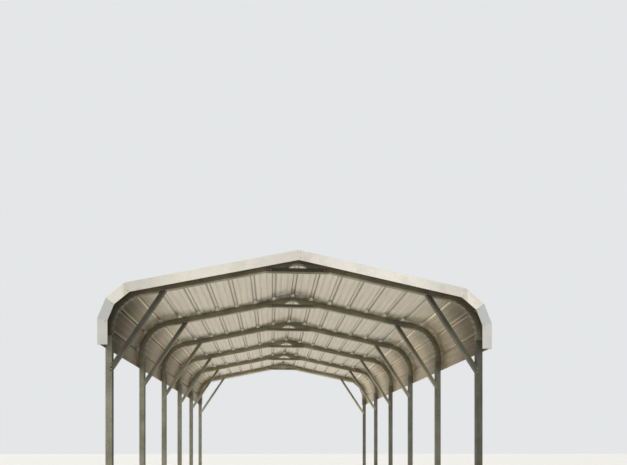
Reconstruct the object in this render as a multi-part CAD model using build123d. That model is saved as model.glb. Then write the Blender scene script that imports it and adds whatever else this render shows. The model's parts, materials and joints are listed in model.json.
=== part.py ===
from build123d import *
import os
from math import atan, cos, pi, radians, sin, sqrt, tan

# Carport with rounded eaves, an open frame under a ribbed sheet roof. Millimetres, +Z up.
# Its length runs along Y with the front at low Y. The origin is on the ground, in the middle.

# Frame of square tube
frame_width = 3663.5            # outside faces of the legs, 12 ft
bay_length = 1524.0             # from one bow to the next, 5 ft
bay_count = 5
tube_size = 63.5                # 2 1/2 in square tube
tube_wall = 1.9                 # 14 gauge
tube_corner = 4.0               # outer radius of the tube's rolled corners
leg_top = 2743.0                # where a leg ends and its bow begins, 9 ft
bow_stub = 35.0                 # straight end of a bow above its leg
eave_bend_radius = 400.0        # to the middle of the tube
peak_bend_radius = 300.0        # to the middle of the tube
roof_rise = 2.5                 # for each 12 of run
roof_run = 12.0

# Dent that the bender presses into the under wall of a bow at its peak
dent_half_length = 80.0
dent_depth = 24.0

# Braces of U channel, open towards the tubes that they wrap
channel_wall = 1.9
channel_corner = 4.0            # outer radius between web and flanges
peak_brace_length = 610.0
peak_brace_depth = 36.0
knee_brace_length = 914.0
knee_brace_reach = 506.0        # level distance from the leg to its upper end
knee_brace_depth = 38.0
knee_brace_overlap = 20.0       # how far its flanges reach over the leg and the bow

# Roof sheets with their ribs along the length
sheet_thickness = 1.0
front_overhang = 229.0          # from the middle of the first bow to the sheets' front ends
back_overhang = 76.0
side_skirt = 153.0              # how far the side sheets run on below the eave bend
rib_spacing = 228.6             # tall ribs, 9 in apart, one of them on the ridge
rib_height = 19.0
rib_base = 56.0
rib_crown = 22.0
low_ribs = 2                    # between two tall ribs
low_rib_height = 4.0
low_rib_base = 20.0
low_rib_crown = 8.0
ridge_rib_count = 2             # tall ribs of the ridge sheet on each side of the ridge
slope_rib_count = 4             # tall ribs of each slope sheet
edge_flat = 4.0                 # flat edge of a sheet beside its outermost tall rib

# Angle trim along both ends of the roof
trim_face = 92.0                # height of its face
trim_flange = 50.0              # how far it lies back on the ribs
trim_thickness = 1.0
trim_upper_angle = 28.0         # degrees, its turn at each of its two upper corners

# Clearances
seat_gap = 0.3                  # between pieces that lie on each other
seam_gap = 0.6                  # between neighbouring sheets, and at the trim's peak joint

# Derived places
half_tube = tube_size / 2
leg_x = frame_width / 2 - half_tube
pitch = atan(roof_rise / roof_run)
eave_turn = pi / 2 - pitch
bend_x = leg_x - eave_bend_radius
bend_z = leg_top + bow_stub
eave_height = bend_z - side_skirt
frame_length = bay_length * bay_count
sheet_length = front_overhang + frame_length + back_overhang
front_y = -sheet_length / 2
bow_places = [front_y + front_overhang + bay_length * i for i in range(bay_count + 1)]


def ridge_line(offset):
    """Height where the slope, moved out from the tubes' middle by offset, would reach the ridge."""
    return bend_z + (eave_bend_radius + offset) / cos(pitch) + bend_x * tan(pitch)


def slope_z(x, offset):
    return ridge_line(offset) - abs(x) * tan(pitch)


peak_z = ridge_line(0) - peak_bend_radius / cos(pitch)


def on_eave(radius, angle):
    """Point about the centre of the eave bend, with the angle measured up from +X."""
    return Vector(bend_x + radius * cos(angle), 0, bend_z + radius * sin(angle))


def on_peak(radius, angle):
    """Point about the centre of the peak bend, with the angle measured from straight up."""
    return Vector(radius * sin(angle), 0, peak_z + radius * cos(angle))


def half_bow_line(offset, bottom):
    """Edges of the bow's line moved out by offset: foot, eave bend, slope and half the peak bend."""
    eave = eave_bend_radius + offset
    peak = peak_bend_radius + offset
    foot = Vector(leg_x + offset, 0, bottom)
    return [
        Edge.make_line(foot, on_eave(eave, 0)),
        Edge.make_three_point_arc(on_eave(eave, 0), on_eave(eave, eave_turn / 2), on_eave(eave, eave_turn)),
        Edge.make_line(on_eave(eave, eave_turn), on_peak(peak, pitch)),
        Edge.make_three_point_arc(on_peak(peak, pitch), on_peak(peak, pitch / 2), on_peak(peak, 0)),
    ]


def bent_half(inner, outer, bottom, depth):
    """Right half of the space between two offsets of the bow's line, with its depth about y = 0."""
    outside = half_bow_line(outer, bottom)
    inside = half_bow_line(inner, bottom)
    foot = Edge.make_line(inside[0] @ 0, outside[0] @ 0)
    crown = Edge.make_line(outside[-1] @ 1, inside[-1] @ 1)
    face = Face(Wire(outside + [crown] + inside + [foot]))
    return extrude(face, depth / 2, dir=(0, 1, 0), both=True)


def bow_centre_line():
    """Middle line of a bow from its left foot to its right foot."""
    right = half_bow_line(0, leg_top)
    left = [edge.mirror(Plane.YZ) for edge in right]
    return Wire(right + left)


def rounded_square(shrink):
    side = tube_size - 2 * shrink
    return RectangleRounded(side, side, tube_corner - shrink)


def across_y(radius):
    return Rot(90, 0, 0) * Cylinder(radius, 2 * tube_size)


def make_bow():
    line = bow_centre_line()
    foot = Plane(origin=line @ 0, x_dir=(1, 0, 0), z_dir=line % 0)
    outside = sweep(foot * rounded_square(0), path=line)
    bore = sweep(foot * rounded_square(tube_wall), path=line)
    dent_radius = (dent_half_length ** 2 + dent_depth ** 2) / (2 * dent_depth)
    dent_z = on_peak(peak_bend_radius - half_tube, 0).Z + dent_depth - dent_radius
    dent = Pos(0, 0, dent_z) * across_y(dent_radius)
    dent_wall = Pos(0, 0, dent_z) * across_y(dent_radius + tube_wall)
    return outside - dent - (bore - dent_wall)


def straight_tube(length):
    return extrude(rounded_square(0) - rounded_square(tube_wall), length)


def make_leg():
    return Pos(0, 0, tube_size) * straight_tube(leg_top - tube_size)


def make_base_rail():
    length = frame_length + tube_size
    middle_y = (bow_places[0] + bow_places[-1]) / 2
    return Pos(0, middle_y + length / 2, half_tube) * Rot(90, 0, 0) * straight_tube(length)


channel_inside = tube_size + 2 * seat_gap
channel_outside = channel_inside + 2 * channel_wall


def channel(foot, depth, length):
    """U channel that starts at a plane, with its web outside on the plane's X axis and open towards its +Y."""
    block = RectangleRounded(channel_outside, 2 * depth, channel_corner)
    bore = RectangleRounded(channel_inside, 2 * (depth - channel_wall), channel_corner - channel_wall)
    open_half = Pos(0, depth / 2) * Rectangle(channel_outside, depth)
    return extrude(foot * Pos(0, depth) * (block - bore - open_half), length)


def make_peak_brace():
    web_top = slope_z(peak_brace_length / 2, -half_tube) - seat_gap
    start = Vector(-peak_brace_length / 2, 0, web_top - channel_wall)
    return channel(Plane(origin=start, x_dir=(0, 1, 0), z_dir=(1, 0, 0)), peak_brace_depth, peak_brace_length)


def make_knee_brace():
    """Right-hand knee brace, with its web towards the middle of the carport."""
    leg_face = leg_x - half_tube
    upper_x = leg_face - knee_brace_reach
    upper_end = Vector(upper_x, 0, slope_z(upper_x, -half_tube))
    lower_end = upper_end + Vector(knee_brace_reach, 0, -sqrt(knee_brace_length ** 2 - knee_brace_reach ** 2))
    along = (upper_end - lower_end).normalized()
    spare = 2 * tube_size
    foot = Plane(origin=lower_end - along * spare, x_dir=(0, -1, 0), z_dir=along)
    bar = channel(foot, knee_brace_depth, knee_brace_length + 2 * spare)
    bottom = lower_end.Z - 3 * spare
    flange_ends = bent_half(knee_brace_overlap - half_tube, 3 * spare, bottom, 2 * channel_outside)
    web_ends = bent_half(-half_tube - seat_gap, 3 * spare, bottom, channel_inside)
    return bar - flange_ends - web_ends


# The sheets follow the outside of the bows. A place on them is a distance down from the ridge,
# measured on that surface, and a height above it.
skin_eave = eave_bend_radius + half_tube + seat_gap
skin_peak = peak_bend_radius + half_tube + seat_gap
peak_end = skin_peak * pitch
slope_end = peak_end + (bend_x + (eave_bend_radius - peak_bend_radius) * sin(pitch)) / cos(pitch)
bend_end = slope_end + skin_eave * eave_turn
skin_end = bend_end + side_skirt


def skin_point(run, height):
    """Point of the roof's surface, on the left of the ridge where the distance is negative."""
    down = abs(run)
    if down <= peak_end:
        point = on_peak(skin_peak + height, down / skin_peak)
    elif down <= slope_end:
        start = on_peak(skin_peak + height, pitch)
        point = start + Vector(cos(pitch), 0, -sin(pitch)) * (down - peak_end)
    elif down <= bend_end:
        point = on_eave(skin_eave + height, eave_turn - (down - slope_end) / skin_eave)
    else:
        point = on_eave(skin_eave + height, 0) - Vector(0, 0, down - bend_end)
    return Vector(point.X if run >= 0 else -point.X, 0, point.Z)


def skin_edge(start, end):
    a = skin_point(*start)
    b = skin_point(*end)
    middle = skin_point((start[0] + end[0]) / 2, (start[1] + end[1]) / 2)
    if (middle - (a + b) * 0.5).length < sheet_thickness / 100:
        return Edge.make_line(a, b)
    return Edge.make_three_point_arc(a, middle, b)


def rib_corners(start, end):
    """Corners of the ribbed section between two distances from the ridge, as (distance, height)."""
    corners = [(start, 0), (end, 0)]
    step = rib_spacing / (low_ribs + 1)
    for i in range(int(start / step) - 1, int(end / step) + 2):
        tall = i % (low_ribs + 1) == 0
        height = rib_height if tall else low_rib_height
        base = rib_base / 2 if tall else low_rib_base / 2
        crown = rib_crown / 2 if tall else low_rib_crown / 2
        places = [(i * step - base, 0), (i * step - crown, height), (i * step + crown, height), (i * step + base, 0)]
        if start < places[0][0] and places[-1][0] < end:
            corners += places
    for joint in (peak_end, slope_end, bend_end):
        corners += [(side * joint, 0) for side in (-1, 1) if start < side * joint < end]
    return sorted(corners)


def drop_inner_joints(corners):
    """Leave out the points at height 0 that fall within a rib."""
    kept = []
    inside_rib = False
    for i, (run, height) in enumerate(corners):
        before = corners[i - 1][1] if i else 0
        after = corners[i + 1][1] if i + 1 < len(corners) else 0
        inside_rib = before > 0 and after > 0
        if height > 0 or not inside_rib:
            kept.append((run, height))
    return kept


def make_sheet(start, end):
    under = drop_inner_joints(rib_corners(start, end))
    over = [(run, height + sheet_thickness) for run, height in reversed(under)]
    loop = under + over
    edges = [skin_edge(loop[i], loop[(i + 1) % len(loop)]) for i in range(len(loop))]
    face = Face(Wire(edges))
    return extrude(face, sheet_length / 2, dir=(0, 1, 0), both=True)


# The trim is bent at flat corners around the ribs' crowns.
trim_seat = half_tube + seat_gap + sheet_thickness + rib_height + seat_gap
trim_turn = radians(trim_upper_angle)
trim_normals = [eave_turn, eave_turn - trim_turn, eave_turn - 2 * trim_turn, 0]


def trim_line(offset):
    """Corners of the right-hand trim's line at an offset from the tubes' middle, from peak to foot."""
    radius = eave_bend_radius + offset
    corners = [Vector(seam_gap / 2, 0, slope_z(seam_gap / 2, offset))]
    for upper, lower in zip(trim_normals, trim_normals[1:]):
        corners.append(on_eave(radius / cos((upper - lower) / 2), (upper + lower) / 2))
    corners.append(Vector(bend_x + radius, 0, eave_height))
    return corners


def trim_band(inner, outer, depth):
    outline = trim_line(outer) + list(reversed(trim_line(inner)))
    return extrude(Face(Wire.make_polygon(outline)), depth, dir=(0, 1, 0))


def make_trim():
    """Front trim, right half: a face before the sheets' ends and a flange on the ribs."""
    crest = trim_seat + trim_thickness
    face = trim_band(crest - trim_face, crest, trim_thickness)
    flange = trim_band(trim_seat, crest, trim_thickness + seat_gap + trim_flange)
    return Pos(0, front_y - seat_gap - trim_thickness, 0) * (face + flange)


def mirrored_x(shape):
    return mirror(shape, Plane.YZ)


def build_parts():
    parts = {}
    rail = make_base_rail()
    leg = make_leg()
    bow = make_bow()
    peak_brace = make_peak_brace()
    knee_brace = make_knee_brace()
    parts["base_rail_left"] = Pos(-leg_x, 0, 0) * rail
    parts["base_rail_right"] = Pos(leg_x, 0, 0) * rail
    for number, y in enumerate(bow_places, 1):
        parts[f"leg_left_{number}"] = Pos(-leg_x, y, 0) * leg
        parts[f"leg_right_{number}"] = Pos(leg_x, y, 0) * leg
        parts[f"bow_{number}"] = Pos(0, y, 0) * bow
        parts[f"peak_brace_{number}"] = Pos(0, y, 0) * peak_brace
        parts[f"knee_brace_left_{number}"] = Pos(0, y, 0) * mirrored_x(knee_brace)
        parts[f"knee_brace_right_{number}"] = Pos(0, y, 0) * knee_brace

    ridge_edge = ridge_rib_count * rib_spacing + rib_base / 2 + edge_flat
    slope_edge = ridge_edge + slope_rib_count * rib_spacing
    parts["roof_sheet_ridge"] = make_sheet(-ridge_edge, ridge_edge)
    slope_sheet = make_sheet(ridge_edge + seam_gap, slope_edge)
    side_sheet = make_sheet(slope_edge + seam_gap, skin_end)
    parts["roof_sheet_slope_left"] = mirrored_x(slope_sheet)
    parts["roof_sheet_slope_right"] = slope_sheet
    parts["roof_sheet_side_left"] = mirrored_x(side_sheet)
    parts["roof_sheet_side_right"] = side_sheet

    trim = make_trim()
    back_trim = mirror(trim, Plane.XZ)
    parts["front_trim_left"] = mirrored_x(trim)
    parts["front_trim_right"] = trim
    parts["back_trim_left"] = mirrored_x(back_trim)
    parts["back_trim_right"] = back_trim
    return parts


os.makedirs("parts", exist_ok=True)
for name, shape in build_parts().items():
    export_step(shape, f"parts/{name}.step")
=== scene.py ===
# %% [markdown]
# # An open carport of bent steel tube
# This lesson dresses a carport: six bows of square steel tube on straight legs, under a ribbed sheet roof
# that wraps over rounded eaves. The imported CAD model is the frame. Most of its parts stay as they are and get
# a finish, the bows are built again with the crimps of a tube bender, and the screws, laps and anchors are
# added. Everything is in metres, in the frame of the CAD: X across, Y along the ridge, Z up.

# %% Load the frame and measure it
import json
import math
from functools import partial

import bmesh
import bpy
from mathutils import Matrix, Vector


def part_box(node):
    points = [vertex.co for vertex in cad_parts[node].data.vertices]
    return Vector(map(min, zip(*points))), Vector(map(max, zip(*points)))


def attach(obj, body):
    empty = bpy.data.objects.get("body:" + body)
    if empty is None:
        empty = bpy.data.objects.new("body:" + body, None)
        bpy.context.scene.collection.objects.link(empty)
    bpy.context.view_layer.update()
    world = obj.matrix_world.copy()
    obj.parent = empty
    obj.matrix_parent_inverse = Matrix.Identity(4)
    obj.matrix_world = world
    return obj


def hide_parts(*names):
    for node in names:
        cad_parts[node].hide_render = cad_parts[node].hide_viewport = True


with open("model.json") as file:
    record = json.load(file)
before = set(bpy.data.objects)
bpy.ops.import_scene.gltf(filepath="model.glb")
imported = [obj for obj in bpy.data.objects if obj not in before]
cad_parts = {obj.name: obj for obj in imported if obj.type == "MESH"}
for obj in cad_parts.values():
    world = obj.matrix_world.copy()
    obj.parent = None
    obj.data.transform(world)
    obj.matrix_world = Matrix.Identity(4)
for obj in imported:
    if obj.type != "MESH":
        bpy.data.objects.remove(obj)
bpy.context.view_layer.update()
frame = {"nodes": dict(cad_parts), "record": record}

MM = 0.001

# %% [markdown]
# ## The camera comes first
# The camera stands before the left half of the open front end, at eye height. A tilted camera would make the
# legs lean together, and in the photograph they stay upright, so this one looks level and its lens is shifted
# up. The focal length and the horizon's row come from the legs, ribs and trim, fitted in the photograph's own
# pixels.

# %% Camera
photo_width, photo_height = 627, 465
focal_length_px = 622.6
horizon_row_px = 447.3
camera_place = (-0.260, -9.805, 1.679)
camera_turn_right = 0.0681

camera_data = bpy.data.cameras.new("camera")
camera_data.sensor_width = 36
camera_data.lens = focal_length_px * camera_data.sensor_width / photo_width
camera_data.shift_y = (horizon_row_px - photo_height / 2) / photo_width
camera = bpy.data.objects.new("camera", camera_data)
camera.location = camera_place
camera.rotation_euler = (math.pi / 2, 0, -camera_turn_right)
bpy.context.collection.objects.link(camera)
bpy.context.scene.camera = camera
print("lens:", round(camera_data.lens, 2), "mm, shift:", round(camera_data.shift_y, 4))

# %% [markdown]
# ## Colours and nodes
# Colours are written as sRGB hex, the way a paint chart gives them, and Blender's sockets want linear light,
# so one function turns one into the other. One more function adds a node to any tree, for shaders and for
# geometry alike. A node's inputs come as a list, in the order of the sockets that are in use, or as a dict by
# their names. A value may be a plain one, a socket, or a node, which stands for its first output in use. The
# list of a noise, for example, holds the place, the scale, the detail and sometimes the roughness.

# %% Colour and node helpers
SMOOTH = {"interpolation_type": "SMOOTHSTEP"}


def colour(hex_code):
    """Linear RGBA of an sRGB hex colour."""
    parts = [int(hex_code[i:i + 2], 16) / 255 for i in (1, 3, 5)]
    linear = [part / 12.92 if part <= 0.04045 else ((part + 0.055) / 1.055) ** 2.4 for part in parts]
    return (*linear, 1)


def set_inputs(node, inputs):
    """Give a node's inputs their values and links."""
    if not isinstance(inputs, dict):
        in_use = [index for index, socket in enumerate(node.inputs) if socket.enabled]
        inputs = dict(zip(in_use, inputs))
    for key, value in inputs.items():
        if isinstance(value, bpy.types.Node):
            value = next(socket for socket in value.outputs if socket.enabled)
        if isinstance(value, bpy.types.NodeSocket):
            node.id_data.links.new(value, node.inputs[key])
        else:
            node.inputs[key].default_value = value


def add_node(tree, kind, inputs=(), **settings):
    """Add a node with its settings, values and links. A kind without a prefix is a shader node's."""
    node = tree.nodes.new(kind if "Node" in kind else "ShaderNode" + kind)
    for name, value in settings.items():
        setattr(node, name, value)
    set_inputs(node, inputs)
    return node


def start_material(name, constants=()):
    """A new material, add_node for its tree, its shader with these constants, and the place on the object."""
    material = bpy.data.materials.new(name)
    material.use_nodes = True
    shader = material.node_tree.nodes["Principled BSDF"]
    set_inputs(shader, dict(constants))
    add = partial(add_node, material.node_tree)
    return material, add, shader, add("TexCoord").outputs["Object"]


# %% [markdown]
# ## Floor and light
# The real carport is lit by a bright sky, and all round the horizon is dark. A pale studio floor and a world
# that is bright above and dimmer towards the horizon give that: light comes down, and bounces up under the
# roof. Camera rays see a plain pale world instead, through Light Path, so the background adds no light to the
# object.

# %% Floor
floor_half = 150.0
floor_corners = [(x * floor_half, y * floor_half, 0) for x, y in ((-1, -1), (1, -1), (1, 1), (-1, 1))]
floor_paint = start_material("studio_floor_paint", {"Base Color": colour("#F0EFEC"), "Roughness": 0.9})[0]
mesh = bpy.data.meshes.new("studio_floor")
mesh.from_pydata(floor_corners, [], [(0, 1, 2, 3)])
mesh.materials.append(floor_paint)
floor = bpy.data.objects.new("studio_floor", mesh)
bpy.context.collection.objects.link(floor)
print("the floor is", 2 * floor_half, "m wide")

# %% World
sky_strength, horizon_strength = 0.74, 0.25
open_side, open_side_glow = (-0.85, 0.53, 0), 2.2
world = bpy.data.worlds.new("studio_world")
world.use_nodes = True
add = partial(add_node, world.node_tree)
direction = add("TexCoord").outputs["Generated"]
upwards = add("SeparateXYZ", [direction]).outputs["Z"]
glow = add("MapRange", [upwards, 0.0, 0.7, horizon_strength, sky_strength], **SMOOTH)
low_glow = add("MapRange", [upwards, 0.05, 0.45, open_side_glow, 0.0], **SMOOTH)
sideways = add("VectorMath", [direction, open_side], operation="DOT_PRODUCT")
sideways = add("MapRange", [sideways, -0.1, 0.9], **SMOOTH)
side_glow = add("Math", [low_glow, sideways], operation="MULTIPLY")
glow = add("Math", [glow, side_glow], operation="ADD")
sky = world.node_tree.nodes["Background"]
set_inputs(sky, [colour("#F4F6FA"), glow])
backdrop = add("Background", [colour("#E4E6E8"), 1.0])
rays = add("LightPath").outputs
seen = rays["Is Camera Ray"]
for ray in ("Is Transmission Ray", "Is Glossy Ray"):
    seen = add("Math", [seen, rays[ray]], operation="MAXIMUM")
set_inputs(world.node_tree.nodes["World Output"], [add("MixShader", [seen, sky, backdrop])])
bpy.context.scene.world = world
print("the sky's strength is", sky_strength, "above and", horizon_strength, "at the horizon")

# %% Lamp
lamp_data = bpy.data.lights.new("soft_key", "SUN")
lamp_data.energy = 1.45
lamp_data.angle = math.radians(20)
lamp_data.color = colour("#FFF6E6")[:3]
lamp = bpy.data.objects.new("soft_key", lamp_data)
lamp.rotation_euler = Vector((0.60, 0.50, -0.95)).to_track_quat("-Z", "Y").to_euler()
bpy.context.collection.objects.link(lamp)
bpy.context.scene.view_settings.view_transform = "Standard"
print("the key lamp falls along", [round(v, 2) for v in lamp.matrix_basis.to_3x3() @ Vector((0, 0, -1))])

# %% [markdown]
# ## Places that the frame gives
# Screws, laps and finishes follow the frame, so its main places are read from the CAD boxes, and the few
# radii that a box doesn't show are repeated from the CAD. A place on the roof is then a run, the distance
# down from the ridge measured on the sheet, and a height above the sheet's underside between its ribs.

# %% Places of the frame
bow_count = 6
bow_places = [(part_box(f"bow_{n}")[0].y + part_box(f"bow_{n}")[1].y) / 2 for n in range(1, bow_count + 1)]
bay_length = bow_places[1] - bow_places[0]
leg_low, leg_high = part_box("leg_right_1")
tube_size = leg_high.x - leg_low.x
half_tube = tube_size / 2
leg_x = (leg_low.x + leg_high.x) / 2
leg_top = leg_high.z
front_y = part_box("roof_sheet_ridge")[0].y
back_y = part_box("roof_sheet_ridge")[1].y

eave_bend_radius = 400 * MM
peak_bend_radius = 300 * MM
bow_stub = 35 * MM
pitch = math.atan(2.5 / 12)
eave_turn = math.pi / 2 - pitch
bend_x = leg_x - eave_bend_radius
bend_z = leg_top + bow_stub


def slope_z(x, offset):
    """Height at x of a line along the slope, at an offset outwards from the tubes' middle line."""
    return bend_z + (eave_bend_radius + offset) / math.cos(pitch) + (bend_x - x) * math.tan(pitch)


ridge_z = slope_z(0, 0)
print("bows at y =", [round(y, 3) for y in bow_places])
print("legs at x =", round(leg_x, 3), "and the bows' ridge at z =", round(ridge_z, 3))

# %% Places on the roof's skin
seat_gap = 0.3 * MM
skin_eave = eave_bend_radius + half_tube + seat_gap
skin_peak = peak_bend_radius + half_tube + seat_gap
peak_z = ridge_z - peak_bend_radius / math.cos(pitch)
peak_end = skin_peak * pitch
slope_end = peak_end + (bend_x + (eave_bend_radius - peak_bend_radius) * math.sin(pitch)) / math.cos(pitch)
bend_end = slope_end + skin_eave * eave_turn
rib_spacing = 228.6 * MM
rib_height = 19 * MM
sheet_thickness = 1 * MM


def skin_place(run, height):
    """Point and outward normal of the roof's skin, on the left of the ridge where the run is negative."""
    down = abs(run)
    if down <= slope_end:
        angle = math.pi / 2 - min(down / skin_peak, pitch)
        centre, radius = Vector((0, 0, peak_z)), skin_peak + height
        centre += Vector((math.cos(pitch), 0, -math.sin(pitch))) * max(down - peak_end, 0)
    else:
        angle = max(eave_turn - (down - slope_end) / skin_eave, 0)
        centre, radius = Vector((bend_x, 0, bend_z - max(down - bend_end, 0))), skin_eave + height
    normal = Vector((math.cos(angle), 0, math.sin(angle)))
    point = centre + normal * radius
    side = -1 if run < 0 else 1
    return Vector((side * point.x, 0, point.z)), Vector((side * normal.x, 0, normal.z))


print("the slope ends", round(slope_end, 3), "m from the ridge and the bend", round(bend_end, 3), "m")

# %% [markdown]
# ## Galvanised steel tube
# The legs, rails and bows are roll-formed from zinc-coated strip. New zinc is bright, and after some years it
# is a dull grey with a cast of olive from dust and algae. The eye reads it by faint crystals of zinc about 15
# mm across and soft clouds of oxide. Its tone also carries painted shade and light: darker up under the roof,
# on the inward faces of the left half, on the right-hand legs and at some front feet, and lighter on
# undersides, at other front feet and towards the back. A metal shader with a high roughness gives the dull
# sheen, and world-sized noise in metres gives the rest.

# %% Galvanised tube material
dust_most = 0.4
ridge_band = 0.3


def galvanised(name, clean, dull, dust, roof_shade=1.0, painted_back_light=1.0, inward_face_shade=1.0, underside=1.0,
               front_feet_shade_and_light=(1.0, 1.0), right_half_shade=1.0, streaks_along_z=True):
    """Zinc-coated steel. Each place named in the arguments has a tone, painted shade below 1 and painted light
    above 1, which is 1 where nothing changes.
    """
    material, add, shader, place = start_material(name)
    crystals = add("TexVoronoi", {"Vector": place, "Scale": 1 / (15 * MM)})
    clouds = add("TexNoise", [place, 1 / (220 * MM), 5.0, 0.6])
    squeeze = (1, 1, 0.06) if streaks_along_z else (1, 0.06, 1)
    drawn = add("Mapping", {"Vector": place, "Scale": squeeze})
    streaks = add("TexNoise", [drawn, 1 / (9 * MM), 3.0])
    grain = add("TexNoise", [place, 1 / (3 * MM), 2.0])
    cloud_share = add("MapRange", [clouds, 0.35, 0.65])
    paint = add("Mix", [cloud_share, colour(clean), colour(dull)], data_type="RGBA")

    # Painted shade and light: darker up under the roof, a tone of its own at the front legs and bow feet,
    # lighter towards the back, darker on the right half and on the left half's faces that look along +X
    x, y, z = add("SeparateXYZ", [place]).outputs
    facing = add("SeparateXYZ", [add("NewGeometry").outputs["True Normal"]]).outputs
    roof_shade_tone = add("MapRange", [z, leg_top - 0.15, bend_z + 0.42, 1.0, roof_shade], **SMOOTH)
    feet_painted_tone = add("MapRange", [x, -ridge_band, ridge_band, *front_feet_shade_and_light])
    front_painted_tone = add("MapRange", [y, bow_places[0] + 0.2, bow_places[0] + 0.4, feet_painted_tone, 1.0])
    left_inward_shade = add("MapRange", [x, -ridge_band, ridge_band, inward_face_shade, 1.0])
    tone = add("MapRange", [crystals.outputs["Color"], 0.0, 1.0, 0.88, 1.10])
    tone = add("Math", [tone, roof_shade_tone], operation="MULTIPLY")
    for row in ((streaks, 0.3, 0.7, 0.80, 1.12),
                (y, bow_places[0], bow_places[-1], 1.0, painted_back_light),
                (x, -ridge_band, ridge_band, 1.0, right_half_shade),
                (z, bend_z + 0.02, bend_z + 0.34, front_painted_tone, 1.0),
                # Painted light on faces that look down, for the bright ground they would reflect
                (facing["Z"], -0.45, -0.95, 1.0, underside),
                (facing["X"], 0.4, 0.9, 1.0, left_inward_shade)):
        tone = add("Math", [tone, add("MapRange", row)], operation="MULTIPLY")
    paint = add("VectorMath", [paint, tone], operation="SCALE")
    dust_share = add("MapRange", [streaks, 0.5, 0.8, 0.0, dust_most])

    # Rain splashes mud on the feet, and the cut and welded steel near the ground rusts
    low = add("MapRange", [z, 0.0, 0.28, 0.9, 0.0], **SMOOTH)
    splash = add("TexNoise", [place, 1 / (35 * MM), 6.0, 0.7])
    mud_share = add("Math", [low, add("MapRange", [splash, 0.40, 0.62])], operation="MULTIPLY")
    from_foot = add("Math", [z, tube_size], operation="SUBTRACT")
    from_foot = add("Math", [from_foot], operation="ABSOLUTE")
    near_cut = add("MapRange", [from_foot, 2 * MM, 22 * MM, 0.9, 0.0])
    rust_spots = add("MapRange", [grain, 0.42, 0.60])
    rust_share = add("Math", [near_cut, rust_spots], operation="MULTIPLY")
    for share, layer in ((dust_share, dust), (mud_share, "#7A6A51"), (rust_share, "#6B4227")):
        paint = add("Mix", [share, paint, colour(layer)], data_type="RGBA")
    bare = add("Math", [mud_share, rust_share], operation="MAXIMUM")
    set_inputs(shader, {"Base Color": paint,
                        "Metallic": add("MapRange", [bare, 0.0, 1.0, 0.45, 0.0]),
                        "Roughness": add("MapRange", [clouds, 0.0, 1.0, 0.38, 0.62]),
                        "Normal": add("Bump", {"Height": grain, "Strength": 0.15, "Distance": 0.4 * MM})})
    return material


# The tones given here are painted shade and light; the bow's and the channel's colours are darker than the
# leg's, partly dirt and partly painted shade under the roof
leg_steel = galvanised("galvanised_steel_tube", "#959482", "#7C7B67", "#6A5B46", inward_face_shade=0.18,
                       front_feet_shade_and_light=(1.08, 0.55), right_half_shade=0.72)
bow_steel = galvanised("galvanised_steel_bow", "#857F69", "#6F6955", "#5A4E3A", roof_shade=0.80, painted_back_light=2.5,
                       inward_face_shade=0.65, underside=2.0, front_feet_shade_and_light=(0.5, 1.5), streaks_along_z=False)
brace_steel = galvanised("galvanised_steel_channel", "#7C7966", "#615F4F", "#3F3A2C", roof_shade=0.55,
                         painted_back_light=3.2, inward_face_shade=0.55, underside=2.2, front_feet_shade_and_light=(0.70, 0.66))
print("three finishes of zinc-coated steel")

# %% [markdown]
# ## Painted roof sheet
# The roof is coil-coated sheet: steel painted in the flat and then rolled into ribs. Its weather side is
# off-white, and its underside has a thinner, warmer backing coat. From below the ribs show as pairs of dark
# lines, because their sides face the dark horizon; here that is painted shade on the rib sides, with painted
# light on them round the bend. Before each bow there are grey smudges of painted contact shade and dust, and
# the walls, corners and tunnels carry more painted shade and light. A pattern that follows the sheet needs the
# run and the height at each point, so the next function works out in shader nodes what skin_place does in
# Python, the other way round.

# %% Run and height on the roof, in shader nodes
def roof_section(add, place):
    """The run from the ridge, the height above the skin, Y and X, as nodes and sockets."""
    x, y, z = add("SeparateXYZ", [place]).outputs
    across = add("Math", [x], operation="ABSOLUTE")
    half = add("CombineXYZ", {"X": across, "Z": z})
    arm = add("VectorMath", [half, (bend_x, 0, bend_z)], operation="SUBTRACT")
    arm_split = add("SeparateXYZ", [arm]).outputs
    up = add("VectorMath", [arm, (math.sin(pitch), 0, math.cos(pitch))], operation="DOT_PRODUCT")
    along = add("VectorMath", [arm, (math.cos(pitch), 0, -math.sin(pitch))], operation="DOT_PRODUCT")
    reach = add("VectorMath", [arm], operation="LENGTH")
    past_slope = add("Math", [along, 0.0], operation="GREATER_THAN")
    below_bend = add("Math", [arm_split["Z"], 0.0], operation="LESS_THAN")
    on_peak = add("Math", [across, skin_peak * math.sin(pitch)], operation="LESS_THAN")

    level = add("Mix", [past_slope, up, reach])
    level = add("Mix", [below_bend, level, arm_split["X"]])
    height = add("Math", [level, skin_eave], operation="SUBTRACT")
    from_peak = add("VectorMath", [half, (0, 0, peak_z)], operation="DISTANCE")
    peak_height = add("Math", [from_peak, skin_peak], operation="SUBTRACT")
    height = add("Mix", [on_peak, height, peak_height])

    angle = add("Math", [arm_split["Z"], arm_split["X"]], operation="ARCTAN2")
    turned = add("Math", [eave_turn, angle], operation="SUBTRACT")
    bent_run = add("Math", [turned, skin_eave], operation="MULTIPLY")
    skirt_run = add("Math", [bend_end - slope_end, arm_split["Z"]], operation="SUBTRACT")
    run = add("Mix", [past_slope, along, bent_run])
    run = add("Mix", [below_bend, run, skirt_run])
    return add("Math", [run, slope_end], operation="ADD"), height, y, x


# %% Roof sheet material
roof_inside = (0, 0, 2.3)
flats_and_crowns = [(0.02, 1.0), (0.06, 0.5), (0.15, 0.5), (0.19, 1.0), (0.21, 1.0), (0.26, 0.0), (0.86, 0.0),
                    (0.93, 1.0)]


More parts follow.
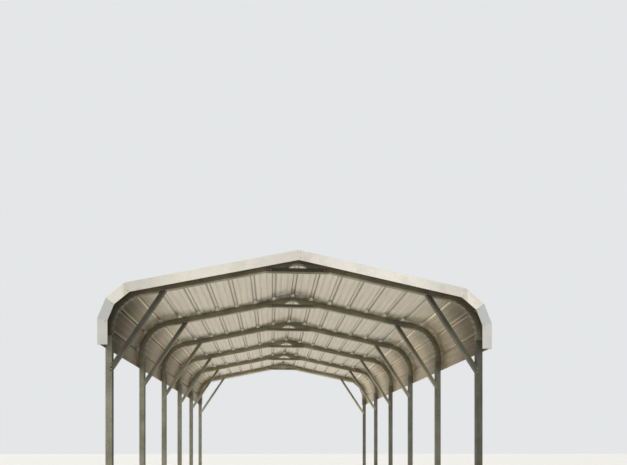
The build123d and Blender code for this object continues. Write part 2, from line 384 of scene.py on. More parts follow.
def make_sheet_paint():
    """The coat of the roof sheet: off-white above, and warm and dusty below, with smudges and other painted
    shade and light.
    """
    material, add, shader, place = start_material("coil_coated_steel_sheet")
    run, height, along_y, across_x = roof_section(add, place)
    facing = add("NewGeometry").outputs["True Normal"]
    outward = add("VectorMath", [place, (0, 1, 0)], operation="MULTIPLY")
    outward = add("VectorMath", [place, outward], operation="SUBTRACT")
    outward = add("VectorMath", [outward, roof_inside], operation="SUBTRACT")
    side = add("VectorMath", [facing, outward], operation="DOT_PRODUCT")
    under = add("Math", [side, 0.0], operation="LESS_THAN")

    # A ramp over 20 mm of height gives 1 on flats and crowns, and less on the sides of low and tall ribs, where
    # painted shade and light go
    ribs = add("ValToRGB", [add("MapRange", [height, 0.0, 20 * MM])])
    for end in ribs.color_ramp.elements:
        end.color = (1, 1, 1, 1)
    for position, tone in flats_and_crowns:
        ribs.color_ramp.elements.new(position).color = (tone, tone, tone, 1)

    # Long faint streaks of the rolling, and clouds of dust
    drawn = add("Mapping", {"Vector": place, "Scale": (1, 0.05, 1)})
    streaks = add("TexNoise", [drawn, 1 / (30 * MM), 3.0])
    clouds = add("TexNoise", [place, 1 / (450 * MM), 5.0])
    specks = add("TexNoise", [place, 1 / (14 * MM), 3.0])
    streak_tone = add("MapRange", [streaks, 0.3, 0.7, 0.90, 1.05])
    speck_tone = add("MapRange", [specks, 0.25, 0.55, 0.88, 1.02])
    tone = add("Math", [streak_tone, speck_tone], operation="MULTIPLY")

    # Painted contact shade with dust: smudges before each bow, widest under the ridge and at the eaves
    bay_place = add("Math", [along_y, bow_places[0] - half_tube], operation="SUBTRACT")
    bay_place = add("Math", [bay_place, bay_length], operation="FLOORED_MODULO")
    before = add("Math", [bay_length, bay_place], operation="SUBTRACT")
    ridge_reach = add("MapRange", [run, 0.12, 0.55, 0.60, 0.20])
    eave_reach = add("MapRange", [run, 0.85, 1.45, 0.0, 0.40])
    reach = add("Math", [ridge_reach, eave_reach], operation="ADD")
    smudge_and_shade = add("MapRange", [before, 0.0, reach, 1.0, 0.0], interpolation_type="SMOOTHERSTEP")
    ragged = add("TexNoise", [place, 1 / (120 * MM), 4.0])
    for factor in (add("MapRange", [ragged, 0.30, 0.60, 0.35, 1.0]), 0.95):
        smudge_and_shade = add("Math", [smudge_and_shade, factor], operation="MULTIPLY")

    # Painted light: over each bow the tunnel of a tall rib is painted near white, for the light seen through it
    in_rib = add("Math", [height, 6 * MM], operation="GREATER_THAN")
    past_bow = add("Math", [bay_place, 0.25], operation="LESS_THAN")
    near_bow = add("Math", [before, 0.06], operation="LESS_THAN")
    over_bow = add("Math", [past_bow, near_bow], operation="MAXIMUM")
    tunnel_painted_light = add("MapRange", [run, slope_end - 0.15, slope_end + 0.15, 1.0, 0.35])
    for factor in (in_rib, over_bow):
        tunnel_painted_light = add("Math", [tunnel_painted_light, factor], operation="MULTIPLY")

    # Painted shade and light: the walls past the bend are darker, the left wall and the crowns in the tunnels
    # there more so, the far bays lighter and the wall just behind each bow darker
    left_half = add("Math", [across_x, 0.0], operation="LESS_THAN")
    wall_shade_most, corner_shade_most, crown_shade_most = [add("MapRange", [left_half, 0.0, 1.0, right, left])
                                          for right, left in ((0.92, 0.56), (0.60, 0.74), (0.85, 0.65))]
    wall_painted_shade = add("MapRange", [run, slope_end - 0.10, slope_end + 0.35, 1.0, wall_shade_most])
    back_painted_light = add("MapRange", [along_y, front_y, back_y, 0.96, 1.22])
    shade_behind_most = add("MapRange", [run, slope_end - 0.05, slope_end + 0.20, 1.0, 0.62])
    shade_behind_bow = add("MapRange", [bay_place, 0.35, 0.85, shade_behind_most, 1.0], **SMOOTH)
    # Painted shade on the rib sides along the slopes, painted light on them round the bend, less of it on the
    # skirt
    rib_side_shade_and_light = add("MapRange", [run, slope_end - 0.06, slope_end + 0.06, 0.46, 1.55])
    skirt_rib_shade = add("MapRange", [run, slope_end + 0.30, slope_end + 0.50, 1.10, 0.70])
    rib_side_shade_and_light = add("Math", [rib_side_shade_and_light, skirt_rib_shade], operation="MULTIPLY")
    rib_shade_and_light = add("Mix", [ribs, rib_side_shade_and_light, 1.0])
    crown_painted_shade = add("MapRange", [run, slope_end - 0.05, slope_end + 0.15, 1.0, crown_shade_most])
    in_crown = add("Math", [height, 17.5 * MM], operation="GREATER_THAN")
    crown_shade_tone = add("Mix", [in_crown, 1.0, crown_painted_shade])
    below_tone_and_shade = tone
    for factor in (wall_painted_shade, back_painted_light, shade_behind_bow, rib_shade_and_light, crown_shade_tone):
        below_tone_and_shade = add("Math", [below_tone_and_shade, factor], operation="MULTIPLY")

    # Past the bend dust dulls the coat, more on its flats than on the ribs, and painted shade with dirt darkens
    # the front corners
    bend_near = add("MapRange", [run, slope_end - 0.15, slope_end + 0.25])
    dull = add("Math", [under, bend_near], operation="MULTIPLY")
    corner_shade_and_dirt = add("MapRange", [along_y, front_y + 0.4, front_y + 1.9, corner_shade_most, 0.0], **SMOOTH)
    panel_share = add("MapRange", [ribs, 0.0, 1.0, 0.45, 1.0])
    bend_near = add("Math", [bend_near, panel_share], operation="MULTIPLY")
    corner_shade_and_dirt = add("Math", [corner_shade_and_dirt, bend_near], operation="MULTIPLY")
    dust_share = add("Math", [bend_near, 0.30], operation="MULTIPLY")
    below = add("Mix", [clouds, colour("#E6DECC"), colour("#DFD3C1")], data_type="RGBA")
    # 67614F is painted contact shade with dust, #50461F painted shade with dirt in the front corners
    for share, layer in ((smudge_and_shade, "#67614F"), (dust_share, "#B4A272"), (corner_shade_and_dirt, "#50461F")):
        below = add("Mix", [share, below, colour(layer)], data_type="RGBA")
    below = add("VectorMath", [below, below_tone_and_shade], operation="SCALE")
    # The near-white of the tunnels is painted light
    below = add("Mix", [tunnel_painted_light, below, colour("#FBF9F0")], data_type="RGBA")

    # The weather side has clouds of dirt, and a line of silt up against each tall rib
    dirt_share = add("MapRange", [clouds, 0.4, 0.75, 0.05, 0.40])
    from_rib = add("Math", [run, 0.5 * rib_spacing], operation="ADD")
    from_rib = add("Math", [from_rib, rib_spacing], operation="FLOORED_MODULO")
    from_rib = add("Math", [from_rib, 0.5 * rib_spacing], operation="SUBTRACT")
    from_silt = add("Math", [from_rib, -34 * MM], operation="SUBTRACT")
    from_silt = add("Math", [from_silt], operation="ABSOLUTE")
    silt_near = add("MapRange", [from_silt, 2 * MM, 16 * MM, 0.6, 0.0])
    silt_share = add("Math", [silt_near, clouds], operation="MULTIPLY")
    above = add("Mix", [dirt_share, colour("#E9E6DC"), colour("#B9B29E")], data_type="RGBA")
    above = add("Mix", [silt_share, above, colour("#8A8067")], data_type="RGBA")
    above = add("VectorMath", [above, tone], operation="SCALE")
    waves = add("TexNoise", [drawn, 1 / (120 * MM), 1.0])
    set_inputs(shader, {"Base Color": add("Mix", [under, above, below], data_type="RGBA"),
                        "Roughness": add("MapRange", [dull, 0.0, 1.0, 0.42, 0.95]),
                        "Normal": add("Bump", {"Height": waves, "Strength": 0.25, "Distance": 3 * MM})})
    return material


sheet_paint = make_sheet_paint()
print("the sheet's material has", len(sheet_paint.node_tree.nodes), "nodes")

# %% [markdown]
# ## Painted trim
# The angle trim is the same coil-coated steel, folded and then notched to go round the eave in flat pieces.
# Each flat piece tilts its own way by a degree or so and shows another part of the sky, so each is given its
# own tone of painted light and shade. On the paint there are soft lilac clouds of mildew and fine grey specks.

# %% Lines of the trim
trim_face = 92 * MM
trim_seat = half_tube + 2 * seat_gap + sheet_thickness + rib_height
trim_crest = trim_seat + sheet_thickness
trim_turn = math.radians(28)
trim_normals = [eave_turn, eave_turn - trim_turn, eave_turn - 2 * trim_turn, 0]
trim_front, trim_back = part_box("front_trim_right")[0].y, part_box("back_trim_right")[1].y
print("the trim's faces are at y =", round(trim_front, 3), "and", round(trim_back, 3))


# %% Trim material
def make_trim_paint():
    """The coat of the trim, with a painted shade for each flat piece round the eave."""
    material, add, shader, place = start_material("coil_coated_steel_trim", {"Roughness": 0.40})
    x, y, z = add("SeparateXYZ", [place]).outputs
    clouds = add("TexNoise", [place, 1 / (160 * MM), 5.0])
    specks = add("TexNoise", [place, 1 / (7 * MM), 5.0])
    across = add("Math", [x], operation="ABSOLUTE")
    out = add("Math", [across, bend_x], operation="SUBTRACT")
    up = add("Math", [z, bend_z], operation="SUBTRACT")
    angle = add("Math", [up, out], operation="ARCTAN2")
    paint = add("ValToRGB", [add("MapRange", [angle, 0.0, eave_turn])])
    facet_shades = paint.color_ramp
    facet_shades.interpolation = "CONSTANT"
    facet_shades.elements.remove(facet_shades.elements[1])
    # Painted shade for each flat piece: grey on the side pieces, bluish grey on the next, near white above
    facet_shades.elements[0].color = colour("#D3D6D2")
    for number, tone in ((2, "#C4CACA"), (1, "#F6F3E8"), (0, "#F8F6EC")):
        fold = (trim_normals[number] + trim_normals[number + 1]) / 2
        facet_shades.elements.new(fold / eave_turn).color = colour(tone)

    # Algae on the damp left side only, then mildew and specks
    left_half = add("Math", [x, 0.0], operation="LESS_THAN")
    algae_most = add("MapRange", [left_half, 0.0, 1.0, 0.0, 0.35])
    for pattern, start, end, most, layer in ((clouds, 0.62, 0.36, algae_most, "#BDBCA6"),
                                             (clouds, 0.48, 0.75, 0.40, "#B9A9AD"),
                                             (specks, 0.50, 0.75, 0.30, "#A39F90")):
        share = add("MapRange", [pattern, start, end, 0.0, most])
        paint = add("Mix", [share, paint, colour(layer)], data_type="RGBA")

    # The paint is darker by the joint at the peak and on the slope towards the first fold
    peak_tone = add("MapRange", [across, 0.10, 0.60, 0.88, 1.0])
    eave_tone = add("MapRange", [across, 1.05, 1.45, 1.0, 0.80])
    past_fold = add("MapRange", [across, 1.58, 1.62])
    eave_tone = add("Math", [eave_tone, past_fold], operation="MAXIMUM")
    tone = add("Math", [peak_tone, eave_tone], operation="MULTIPLY")
    set_inputs(shader, {"Base Color": add("VectorMath", [paint, tone], operation="SCALE"),
                        "Normal": add("Bump", {"Height": clouds, "Strength": 0.2, "Distance": 1.5 * MM})})
    return material


trim_paint = make_trim_paint()

# %% [markdown]
# ## Dress the CAD parts
# A CAD part whose shape is right keeps its mesh and only gets its finish.

# %% Dress the CAD parts
finishes = {
    "galvanised_tube": leg_steel,
    "galvanised_channel": brace_steel,
    "roof_sheet": sheet_paint,
    "edge_trim": trim_paint,
}
for part in frame["record"]["subparts"]:
    mesh = frame["nodes"][part["node"]].data
    mesh.materials.clear()
    mesh.materials.append(bow_steel if part["node"].startswith("bow_") else finishes[part["material_slot"]])
print(len(frame["nodes"]), "CAD parts have their finish")

# %% [markdown]
# ## Shapes that follow a rule
# The next pieces repeat or follow a path, so Geometry Nodes make them. Each tree has named inputs for its
# sizes. An input is set on the modifier by its socket's identifier, the evaluated result becomes a plain
# mesh, and the modifier goes away, so what is left is an ordinary piece whose place is in its mesh.

# %% Helpers for geometry trees
def start_tree(name, **sockets):
    """A geometry tree with inputs given as name=kind: itself, add_node for it, and its inputs' sockets."""
    tree = bpy.data.node_groups.new(name, "GeometryNodeTree")
    for socket_name, kind in {"Geometry": "Geometry", **sockets}.items():
        tree.interface.new_socket(socket_name, in_out="INPUT", socket_type="NodeSocket" + kind)
    tree.interface.new_socket("Geometry", in_out="OUTPUT", socket_type="NodeSocketGeometry")
    return tree, partial(add_node, tree), add_node(tree, "NodeGroupInput").outputs


def grow(name, mesh, tree, slot, smooth_angle=35, **values):
    """Run a tree on a mesh, keep the plain result as a piece of the carport, and return it."""
    seed = bpy.data.objects.new(name + "_seed", mesh)
    bpy.context.collection.objects.link(seed)
    modifier = seed.modifiers.new("grow", "NODES")
    modifier.node_group = tree
    for item in tree.interface.items_tree:
        if item.in_out == "INPUT" and item.name in values:
            modifier[item.identifier] = values[item.name]
    bpy.context.view_layer.update()
    grown = bpy.data.meshes.new_from_object(seed.evaluated_get(bpy.context.evaluated_depsgraph_get()))
    seed.modifiers.clear()
    bpy.data.objects.remove(seed)
    grown.set_sharp_from_angle(angle=math.radians(smooth_angle))
    return keep(name, grown)


def keep(name, mesh):
    """Make a finished mesh a piece that rides on the carport."""
    piece = bpy.data.objects.new(name, mesh)
    bpy.context.collection.objects.link(piece)
    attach(piece, "root")
    return piece


# %% [markdown]
# ## Bows with the crimps of a tube bender
# A bow is one tube, bent cold at both eaves and at the ridge. The wall on the inside of a bend has too much
# metal, so the bender presses it into a row of crimps, and at the ridge it presses one long dent, the
# lens-shaped gap over the brace. A swept profile alone would give a smooth bend that no such tube has. So the
# tree fillets the three corners of a line, sweeps the rounded square along it, and then pushes the inner wall
# outward by a wave.

# %% The bow's tree
def make_bow_tree():
    """A tree that turns a bow's line into its tube, with the crimps and the dent."""
    tree, add, given = start_tree(
        "bent_bow", Tube_Size="Float", Tube_Corner="Float", Crimps="Int", Crimp_Depth="Float",
        Dent_Reach="Float", Dent_Depth="Float", Steel="Material")
    radius = add("GeometryNodeInputNamedAttribute", ["bend_radius"], data_type="FLOAT")
    steps = add("GeometryNodeInputNamedAttribute", ["bend_steps"], data_type="INT")
    line = add("GeometryNodeMeshToCurve", [given["Geometry"]])
    line = add("GeometryNodeFilletCurve", {"Curve": line, "Radius": radius, "Count": steps}, mode="POLY")
    tangent = add("GeometryNodeInputTangent")
    inward = add("VectorMath", [(0, 1, 0), tangent], operation="CROSS_PRODUCT")
    for name, value in (("middle", add("GeometryNodeInputPosition")), ("inward", inward)):
        line = add("GeometryNodeStoreNamedAttribute", {"Geometry": line, "Name": name, "Value": value},
                   data_type="FLOAT_VECTOR")
    square = add("GeometryNodeCurvePrimitiveQuadrilateral", [given["Tube_Size"], given["Tube_Size"]])
    square = add("GeometryNodeFilletCurve", {"Curve": square, "Radius": given["Tube_Corner"], "Count": 3},
                 mode="POLY")
    tube = add("GeometryNodeCurveToMesh", {"Curve": line, "Profile Curve": square, "Fill Caps": True})

    # How far a point lies towards the inside of the bend, from 0 in the middle to 1 at the inner wall
    centre, inside = [add("GeometryNodeInputNamedAttribute", [name], data_type="FLOAT_VECTOR")
                      for name in ("middle", "inward")]
    arm = add("VectorMath", [add("GeometryNodeInputPosition"), centre], operation="SUBTRACT")
    depth = add("VectorMath", [arm, inside], operation="DOT_PRODUCT")
    half = add("Math", [given["Tube_Size"], 0.5], operation="MULTIPLY")
    share = add("Math", [depth, half], operation="DIVIDE", use_clamp=True)

    # The crimps are a squared sine over the angle of each eave bend
    split = add("SeparateXYZ", [centre]).outputs
    across = add("Math", [split["X"]], operation="ABSOLUTE")
    out = add("Math", [across, bend_x], operation="SUBTRACT")
    up = add("Math", [split["Z"], bend_z], operation="SUBTRACT")
    angle = add("Math", [up, out], operation="ARCTAN2")
    phase = add("Math", [angle, eave_turn], operation="DIVIDE", use_clamp=True)
    for factor in (given["Crimps"], math.pi):
        phase = add("Math", [phase, factor], operation="MULTIPLY")
    wave = add("Math", [phase], operation="SINE")
    push = add("Math", [wave, 2.0], operation="POWER")
    for factor in (given["Crimp_Depth"], share, -1.0):
        push = add("Math", [push, factor], operation="MULTIPLY")
    crimp = add("VectorMath", [inside, push], operation="SCALE")
    tube = add("GeometryNodeSetPosition", {"Geometry": tube, "Offset": crimp})

    # The dent under the ridge is the top of a round die, pressed up into the inner wall
    spot = add("SeparateXYZ", [add("GeometryNodeInputPosition")]).outputs
    squared, reach2, deep2 = [add("Math", [value, 2.0], operation="POWER")
                              for value in (spot["X"], given["Dent_Reach"], given["Dent_Depth"])]
    die = add("Math", [reach2, deep2], operation="ADD")
    die = add("Math", [die, given["Dent_Depth"]], operation="DIVIDE")
    die = add("Math", [die, 0.5], operation="MULTIPLY")
    die2 = add("Math", [die, 2.0], operation="POWER")
    rise = add("Math", [die2, squared], operation="SUBTRACT")
    rise = add("Math", [rise, 0.0], operation="MAXIMUM")
    rise = add("Math", [rise], operation="SQRT")
    top = add("Math", [rise, die], operation="SUBTRACT")
    low_wall = peak_z + peak_bend_radius - half_tube
    for height in (given["Dent_Depth"], low_wall):
        top = add("Math", [top, height], operation="ADD")
    lift = add("Math", [top, spot["Z"]], operation="SUBTRACT")
    lift = add("Math", [lift, 0.0], operation="MAXIMUM")
    for factor in (share, add("Math", [squared, die2], operation="LESS_THAN")):
        lift = add("Math", [lift, factor], operation="MULTIPLY")
    tube = add("GeometryNodeSetPosition", {"Geometry": tube, "Offset": add("CombineXYZ", {"Z": lift})})
    tube = add("GeometryNodeMergeByDistance", {"Geometry": tube, "Distance": 0.01 * MM})
    tube = add("GeometryNodeSetShadeSmooth", [tube])
    tube = add("GeometryNodeRealizeInstances", [tube])
    tube = add("GeometryNodeSetMaterial", {"Geometry": tube, "Material": given["Steel"]})
    add("NodeGroupOutput", [tube])
    return tree


# %% The six bows
bow_tree = make_bow_tree()
dent_reach, dent_depth = 80 * MM, 24 * MM
crimp_count, crimp_depth = 9, 5 * MM
tube_corner = 4 * MM
eave_steps, ridge_steps = 108, 24


def bow_line(y):
    """Corners of a bow's middle line, each with the radius and the number of steps of its bend."""
    beside_ridge = [(dent_reach + step * MM, 0, 1) for step in (0, 8, 16, 24)]
    right = beside_ridge + [(leg_x, eave_bend_radius, eave_steps), (leg_x, 0, 1)]
    left = [(-x, radius, steps) for x, radius, steps in reversed(right)]
    xs, radii, steps = zip(*left, (0, peak_bend_radius, ridge_steps), *right)
    heights = [ridge_z - abs(x) * math.tan(pitch) for x in xs]
    heights[0] = heights[-1] = leg_top
    mesh = bpy.data.meshes.new("bow_line")
    mesh.from_pydata([(x, y, z) for x, z in zip(xs, heights)], [(i, i + 1) for i in range(len(xs) - 1)], [])
    mesh.attributes.new("bend_radius", "FLOAT", "POINT").data.foreach_set("value", radii)
    mesh.attributes.new("bend_steps", "INT", "POINT").data.foreach_set("value", steps)
    return mesh


for number, y in enumerate(bow_places, 1):
    bow = grow(f"crimped_bow_{number}", bow_line(y), bow_tree, "galvanised_tube", Tube_Size=tube_size,
               Tube_Corner=tube_corner, Crimps=crimp_count, Crimp_Depth=crimp_depth, Dent_Reach=dent_reach,
               Dent_Depth=dent_depth, Steel=bow_steel)
    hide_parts(f"bow_{number}")
print("each bow has", len(bow.data.polygons), "faces")

# %% [markdown]
# ## Screws
# Such a carport is held by self-drilling screws. Each has a hexagon head for the driver, a round flange
# pressed in one piece with it, and, through the roof, a washer of black rubber that seals the hole. The tree
# makes one screw of those three parts and sets it on every point, turned along the point's own direction and
# twisted by a seeded chance, because no two heads stop at the same angle. A low rivet for the trim comes from
# the same tree with other sizes.

# %% Screw materials
def spotted(name, roughness, spot_size, detail, ground, spots, fade=(0.0, 1.0, 0.0, 1.0), metallic=0.0,
            relief=0.0):
    """A material with spots of a second colour, which can be bare of metal and stand out by a relief."""
    material, add, shader, place = start_material(name, {"Roughness": roughness})
    pattern = add("TexNoise", [place, 1 / spot_size, detail])
    share = add("MapRange", [pattern, *fade])
    paint = add("Mix", [share, colour(ground), colour(spots)], data_type="RGBA")
    set_inputs(shader, {"Base Color": paint})
    if metallic:
        set_inputs(shader, {"Metallic": add("MapRange", [share, 0.0, 1.0, metallic, 0.0])})
    if relief:
        bump = add("Bump", {"Height": pattern, "Strength": 0.5, "Distance": relief})
        set_inputs(shader, {"Normal": bump})
    return material


# Zinc-plated steel is bright, with rust in patches. Moulded rubber is near black and chalks in the weather.
zinc_plate = spotted("zinc_plated_screw_steel", 0.38, 6 * MM, 3.0, "#A8A698", "#6F4A30",
                     fade=(0.52, 0.66, 0.0, 0.8), metallic=0.85)
rubber = spotted("moulded_rubber_washer", 0.7, 4 * MM, 2.0, "#2B2A27", "#4A4843")


# %% The screw's tree
def make_screw_tree():
    """A tree that sets a screw of three discs on every point of a mesh."""
    tree, add, given = start_tree(
        "self_drilling_screw", Head_Radius="Float", Head_Height="Float", Head_Sides="Int",
        Flange_Radius="Float", Flange_Height="Float", Washer_Radius="Float", Washer_Height="Float",
        Metal="Material", Rubber="Material")
    bottom = 0.0
    screw = add("GeometryNodeJoinGeometry")
    for part, sides in (("Washer", 14), ("Flange", 12), ("Head", given["Head_Sides"])):
        radius, height = given[part + "_Radius"], given[part + "_Height"]
        disc = add("GeometryNodeMeshCylinder", {"Vertices": sides, "Radius": radius, "Depth": height})
        middle = add("Math", [height, 0.5, bottom], operation="MULTIPLY_ADD")
        raised = add("CombineXYZ", {"Z": middle})
        disc = add("GeometryNodeTransform", {"Geometry": disc, "Translation": raised})
        mark = {"Geometry": disc, "Name": "rubber", "Value": part == "Washer"}
        disc = add("GeometryNodeStoreNamedAttribute", mark, data_type="BOOLEAN", domain="FACE")
        set_inputs(screw, [disc])
        bottom = add("Math", [height, 1.0, bottom], operation="MULTIPLY_ADD")
    facing = add("GeometryNodeInputNamedAttribute", ["facing"], data_type="FLOAT_VECTOR")
    turned = add("FunctionNodeAlignRotationToVector", {"Vector": facing}, axis="Z")
    chance = add("FunctionNodeRandomValue", {2: 0.0, 3: math.tau, "Seed": 7})
    twist = add("FunctionNodeAxisAngleToRotation", {"Axis": (0, 0, 1), "Angle": chance})
    turned = add("FunctionNodeRotateRotation", [turned, twist], rotation_space="LOCAL")
    spread = add("GeometryNodeInstanceOnPoints",
                 {"Points": given["Geometry"], "Instance": screw, "Rotation": turned})
    real = add("GeometryNodeRealizeInstances", [spread])
    is_rubber = add("GeometryNodeInputNamedAttribute", ["rubber"], data_type="BOOLEAN")
    plated = add("GeometryNodeSetMaterial", {"Geometry": real, "Material": given["Metal"]})
    sealed = add("GeometryNodeSetMaterial", [plated, is_rubber, given["Rubber"]])
    add("NodeGroupOutput", [sealed])
    return tree


screw_tree = make_screw_tree()


def fastener(sides, head, flange, washer, metal, washer_material):
    """The tree's inputs, from the radius and height of each part in millimetres."""
    sizes = {part + size: value * MM
             for part, pair in (("Head_", head), ("Flange_", flange), ("Washer_", washer))
             for size, value in zip(("Radius", "Height"), pair)}
    return dict(sizes, Head_Sides=sides, Metal=metal, Rubber=washer_material)


roof_screw = fastener(6, (4.6, 4.5), (6.6, 1.2), (7.6, 2.4), zinc_plate, rubber)
frame_screw = fastener(6, (4.6, 4.5), (6.6, 1.2), (6.9, 0.4), zinc_plate, zinc_plate)
low_rivet = fastener(10, (3.0, 0.5), (4.4, 0.6), (5.2, 0.4), zinc_plate, zinc_plate)


def drive(name, places, slot, kind):
    """Set a screw at each place, given as a point on the surface and the direction its head faces."""
    mesh = bpy.data.meshes.new(name + "_points")
    mesh.from_pydata([point for point, facing in places], [], [])
    facings = mesh.attributes.new("facing", "FLOAT_VECTOR", "POINT")
    facings.data.foreach_set("vector", [value for point, facing in places for value in facing])
    piece = grow(name, mesh, screw_tree, slot, **kind)
    print(name, "has", len(places), "pieces and", len(piece.data.polygons), "faces")


# %% [markdown]
# ## Where the roof is screwed
# A screw goes through the flat beside each tall rib into every bow, because a screw on a rib's crown would
# crush it. The lower sheet of each lap is also stitched to the upper one about every half metre, beside the
# rib that covers the joint.

# %% Roof screws
def on_roof(ys, runs, height):
    """Places at these Ys and runs on both halves of the roof, at a height above its skin."""
    both_sides = [skin_place(side * run, height) for run in runs for side in (-1, 1)]
    return [(point + Vector((0, y, 0)), normal) for y in ys for point, normal in both_sides]


beside_rib = 55 * MM
outermost_rib = 8
screw_runs = [rib * rib_spacing + beside_rib for rib in range(outermost_rib + 1)]
drive("roof_screws", on_roof(bow_places, screw_runs, sheet_thickness), "roof_sheet", roof_screw)

# %% Stitch screws in the laps
lap_ribs, past_lap_rib = (2, 6), 32 * MM
lap_width, lap_thickness = 13 * MM, 0.6 * MM
lap_runs = [rib * rib_spacing + past_lap_rib for rib in lap_ribs]
stitch_ys = [y + share * bay_length for y in bow_places[:-1] for share in (1 / 3, 2 / 3)]
stitch_runs = [run + 0.5 * lap_width for run in lap_runs]
stitch_places = on_roof(stitch_ys, stitch_runs, sheet_thickness + lap_thickness)
drive("stitch_screws", stitch_places, "roof_sheet", roof_screw)


# %% [markdown]
# ## Laps between the roof sheets
# Each sheet's edge runs on past its last rib and lies on the next sheet. From above one sees that edge as a
# step of one sheet's thickness with a fine shadow, and it closes the joint to the light. It is a strip along
# the whole roof.

# %% Lap strips
def extrude_along_y(outline, start, end):
    """Vertices and faces of a closed outline in X and Z, drawn out along Y."""
    count = len(outline)
    points = [(x, y, z) for y in (start, end) for x, z in outline]
    faces = [[i, (i + 1) % count, count + (i + 1) % count, count + i] for i in range(count)]
    return points, faces + [list(range(count))[::-1], list(range(count, 2 * count))]


def keep_solids(name, solids, material):
    """Keep several closed solids as one piece, with its faces outwards."""
    points, faces = [], []
    for solid_points, solid_faces in solids:
        faces += [[len(points) + i for i in face] for face in solid_faces]
        points += solid_points
    mesh = bpy.data.meshes.new(name)
    mesh.from_pydata(points, [], faces)
    work = bmesh.new()
    work.from_mesh(mesh)
    bmesh.ops.recalc_face_normals(work, faces=work.faces)
    work.to_mesh(mesh)
    work.free()
    mesh.materials.append(material)
    keep(name, mesh)
    print(name, "has", len(solids), "strips or plates")


lap_bites = 3 * MM
end_gap = 1 * MM
laps = []
for lap_run in lap_runs:
    for side in (-1, 1):
        runs = [lap_run - lap_bites, lap_run + lap_width]
        low = [skin_place(side * run, sheet_thickness)[0] for run in runs]
        high = [skin_place(side * run, sheet_thickness + lap_thickness)[0] for run in reversed(runs)]
        laps.append(extrude_along_y([(p.x, p.z) for p in low + high], front_y + end_gap, back_y - end_gap))
keep_solids("sheet_laps", laps, sheet_paint)

# %% [markdown]
# ## Trim corners
# The trim is a folded angle. To take it round the eave, its face is cut and one side of each cut laps over
# the other as a thin wedge, held by a rivet. At the ridge one half laps over the other. These laps are what
# makes the bright edge of the roof read as folded sheet, so they are thin plates before the CAD trim.

# %% Corners of the trim
def trim_corner(number, offset):
    """Corner of the trim's line in X and Z, at an offset from the tubes' middle line."""
    upper, lower = trim_normals[number], trim_normals[number + 1]
    reach = (eave_bend_radius + offset) / math.cos((upper - lower) / 2)
    angle = (upper + lower) / 2
    return Vector((bend_x + reach * math.cos(angle), bend_z + reach * math.sin(angle)))


# %% Trim laps and rivets
tab_thickness = 0.8 * MM
tab_half_width = 24 * MM
tab_inset = 1 * MM
tab_outer, tab_inner = trim_crest - tab_inset, trim_crest - trim_face + tab_inset
tabs, rivet_places = [], []


def add_plate(outline, rivets):
    """A thin plate on the trim's face at both ends of the roof, with rivets at these places in X and Z."""
    for y, outwards in ((trim_front, -1), (trim_back, 1)):
        tabs.append(extrude_along_y(outline, y, y + outwards * tab_thickness))
        rivet_places.extend(((x, y + outwards * tab_thickness, z), (0, outwards, 0)) for x, z in rivets)


for number in range(3):
    outer, inner = trim_corner(number, tab_outer), trim_corner(number, tab_inner)
    lower = trim_normals[number + 1]
    tip = inner + Vector((math.sin(lower), -math.cos(lower))) * tab_half_width
    middle = (inner + inner + tip + tip + outer) / 5
    for side in (-1, 1):
        add_plate([(side * p.x, p.y) for p in (outer, inner, tip)], [(side * middle.x, middle.y)])

peak_lap = 30 * MM
drop = peak_lap * math.tan(pitch)
peak_top, peak_bottom = slope_z(0, trim_crest) - tab_inset, slope_z(0, trim_crest - trim_face) + tab_inset
peak_outline = [(0, peak_bottom), (0, peak_top), (peak_lap, peak_top - drop), (peak_lap, peak_bottom - drop)]
peak_rivets = [(0.5 * peak_lap, peak_top - 0.5 * drop - share * (peak_top - peak_bottom))
               for share in (0.22, 0.75)]
add_plate(peak_outline, peak_rivets)
keep_solids("trim_laps", tabs, trim_paint)
drive("trim_rivets", rivet_places, "edge_trim", low_rivet)

# %% Trim screws on the ribs' crowns
screw_inset = 30 * MM
crown_ys = (trim_front + screw_inset, trim_back - screw_inset)
crown_runs = [rib * rib_spacing for rib in range(1, 7)]
crown_places = on_roof(crown_ys, crown_runs, trim_crest - half_tube - seat_gap)
drive("trim_screws", crown_places, "edge_trim", frame_screw)

# %% [markdown]
# ## Screws of the frame
# A brace is a channel that wraps the tubes, and two screws go through each of its sides at each end. A bow's
# foot slips over a pin on its leg, and a leg's foot over a pin on the base rail, each held by a screw in two
# sides.

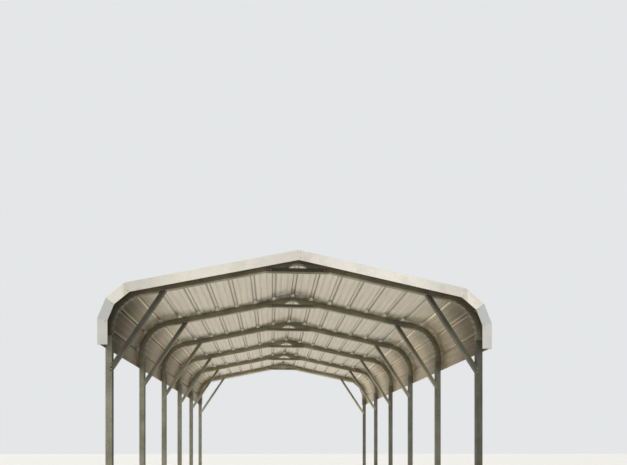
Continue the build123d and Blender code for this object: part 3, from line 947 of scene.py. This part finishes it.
# %% Places on the braces and legs
brace_low, brace_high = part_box("peak_brace_1")
brace_side = (brace_high.y - brace_low.y) / 2
knee_reach, knee_length, knee_depth = 506 * MM, 914 * MM, 38 * MM
leg_face = leg_x - half_tube
knee_top = Vector((leg_face - knee_reach, slope_z(leg_face - knee_reach, -half_tube)))
knee_foot = knee_top + Vector((knee_reach, -math.sqrt(knee_length ** 2 - knee_reach ** 2)))
knee_along = (knee_top - knee_foot).normalized()
knee_out = Vector((knee_along.y, -knee_along.x))
peak_brace_insets = (14 * MM, 42 * MM)
leg_screw_heights = (leg_top - 28 * MM, leg_top + 24 * MM, tube_size + 38 * MM)
past_face = 9 * MM


def knee_screw_spots():
    """Places in X and Z on a right-hand knee brace's sides, just past the face of the leg and of the bow."""
    under_bow = Vector((math.sin(pitch), math.cos(pitch)))
    spots = []
    for depth in (0.25 * knee_depth, 0.75 * knee_depth):
        start = knee_foot + knee_out * depth
        spots.append(start + knee_along * ((start.x - leg_face - past_face) / -knee_along.x))
        rise = (knee_top + under_bow * past_face - start).dot(under_bow)
        spots.append(start + knee_along * (rise / knee_along.dot(under_bow)))
    return spots


brace_spots = [(side * (brace_high.x - inset), brace_low.z + 0.5 * (brace_high.z - brace_low.z))
               for inset in peak_brace_insets for side in (-1, 1)]
brace_spots += [(side * spot.x, spot.y) for spot in knee_screw_spots() for side in (-1, 1)]
print(len(brace_spots), "places on each side of a bow's braces")

# %% Frame screws
frame_places = []
for y in bow_places:
    frame_places += [((x, y + outwards * brace_side, z), (0, outwards, 0))
                     for x, z in brace_spots for outwards in (-1, 1)]
    frame_places += [((side * leg_x + outwards * half_tube, y, z), (outwards, 0, 0))
                     for side in (-1, 1) for z in leg_screw_heights for outwards in (-1, 1)]
drive("frame_screws", frame_places, "galvanised_tube", frame_screw)

# %% [markdown]
# ## Ground pins
# Beside each leg a bar of ribbed reinforcing steel is driven through the base rail into the ground. Only its
# head stays in sight, a short stub with a thick washer welded on. It has no coating, so it is the rustiest
# thing here. The tree is the screw's again: a round head, a thick flange and a thin base plate.

# %% Ground pins
rusty_steel = spotted("hot_rolled_steel_rusted", 0.85, 12 * MM, 6.0, "#4A2F20", "#8A5432", relief=0.6 * MM)
ground_pin = fastener(12, (8, 9), (17, 5), (24, 3), rusty_steel, rusty_steel)
beside_leg = 150 * MM
pin_ys = [y + (beside_leg if y < 0 else -beside_leg) for y in bow_places]
pin_places = [((side * leg_x, y, tube_size), (0, 0, 1)) for y in pin_ys for side in (-1, 1)]
drive("ground_pins", pin_places, "galvanised_tube", ground_pin)
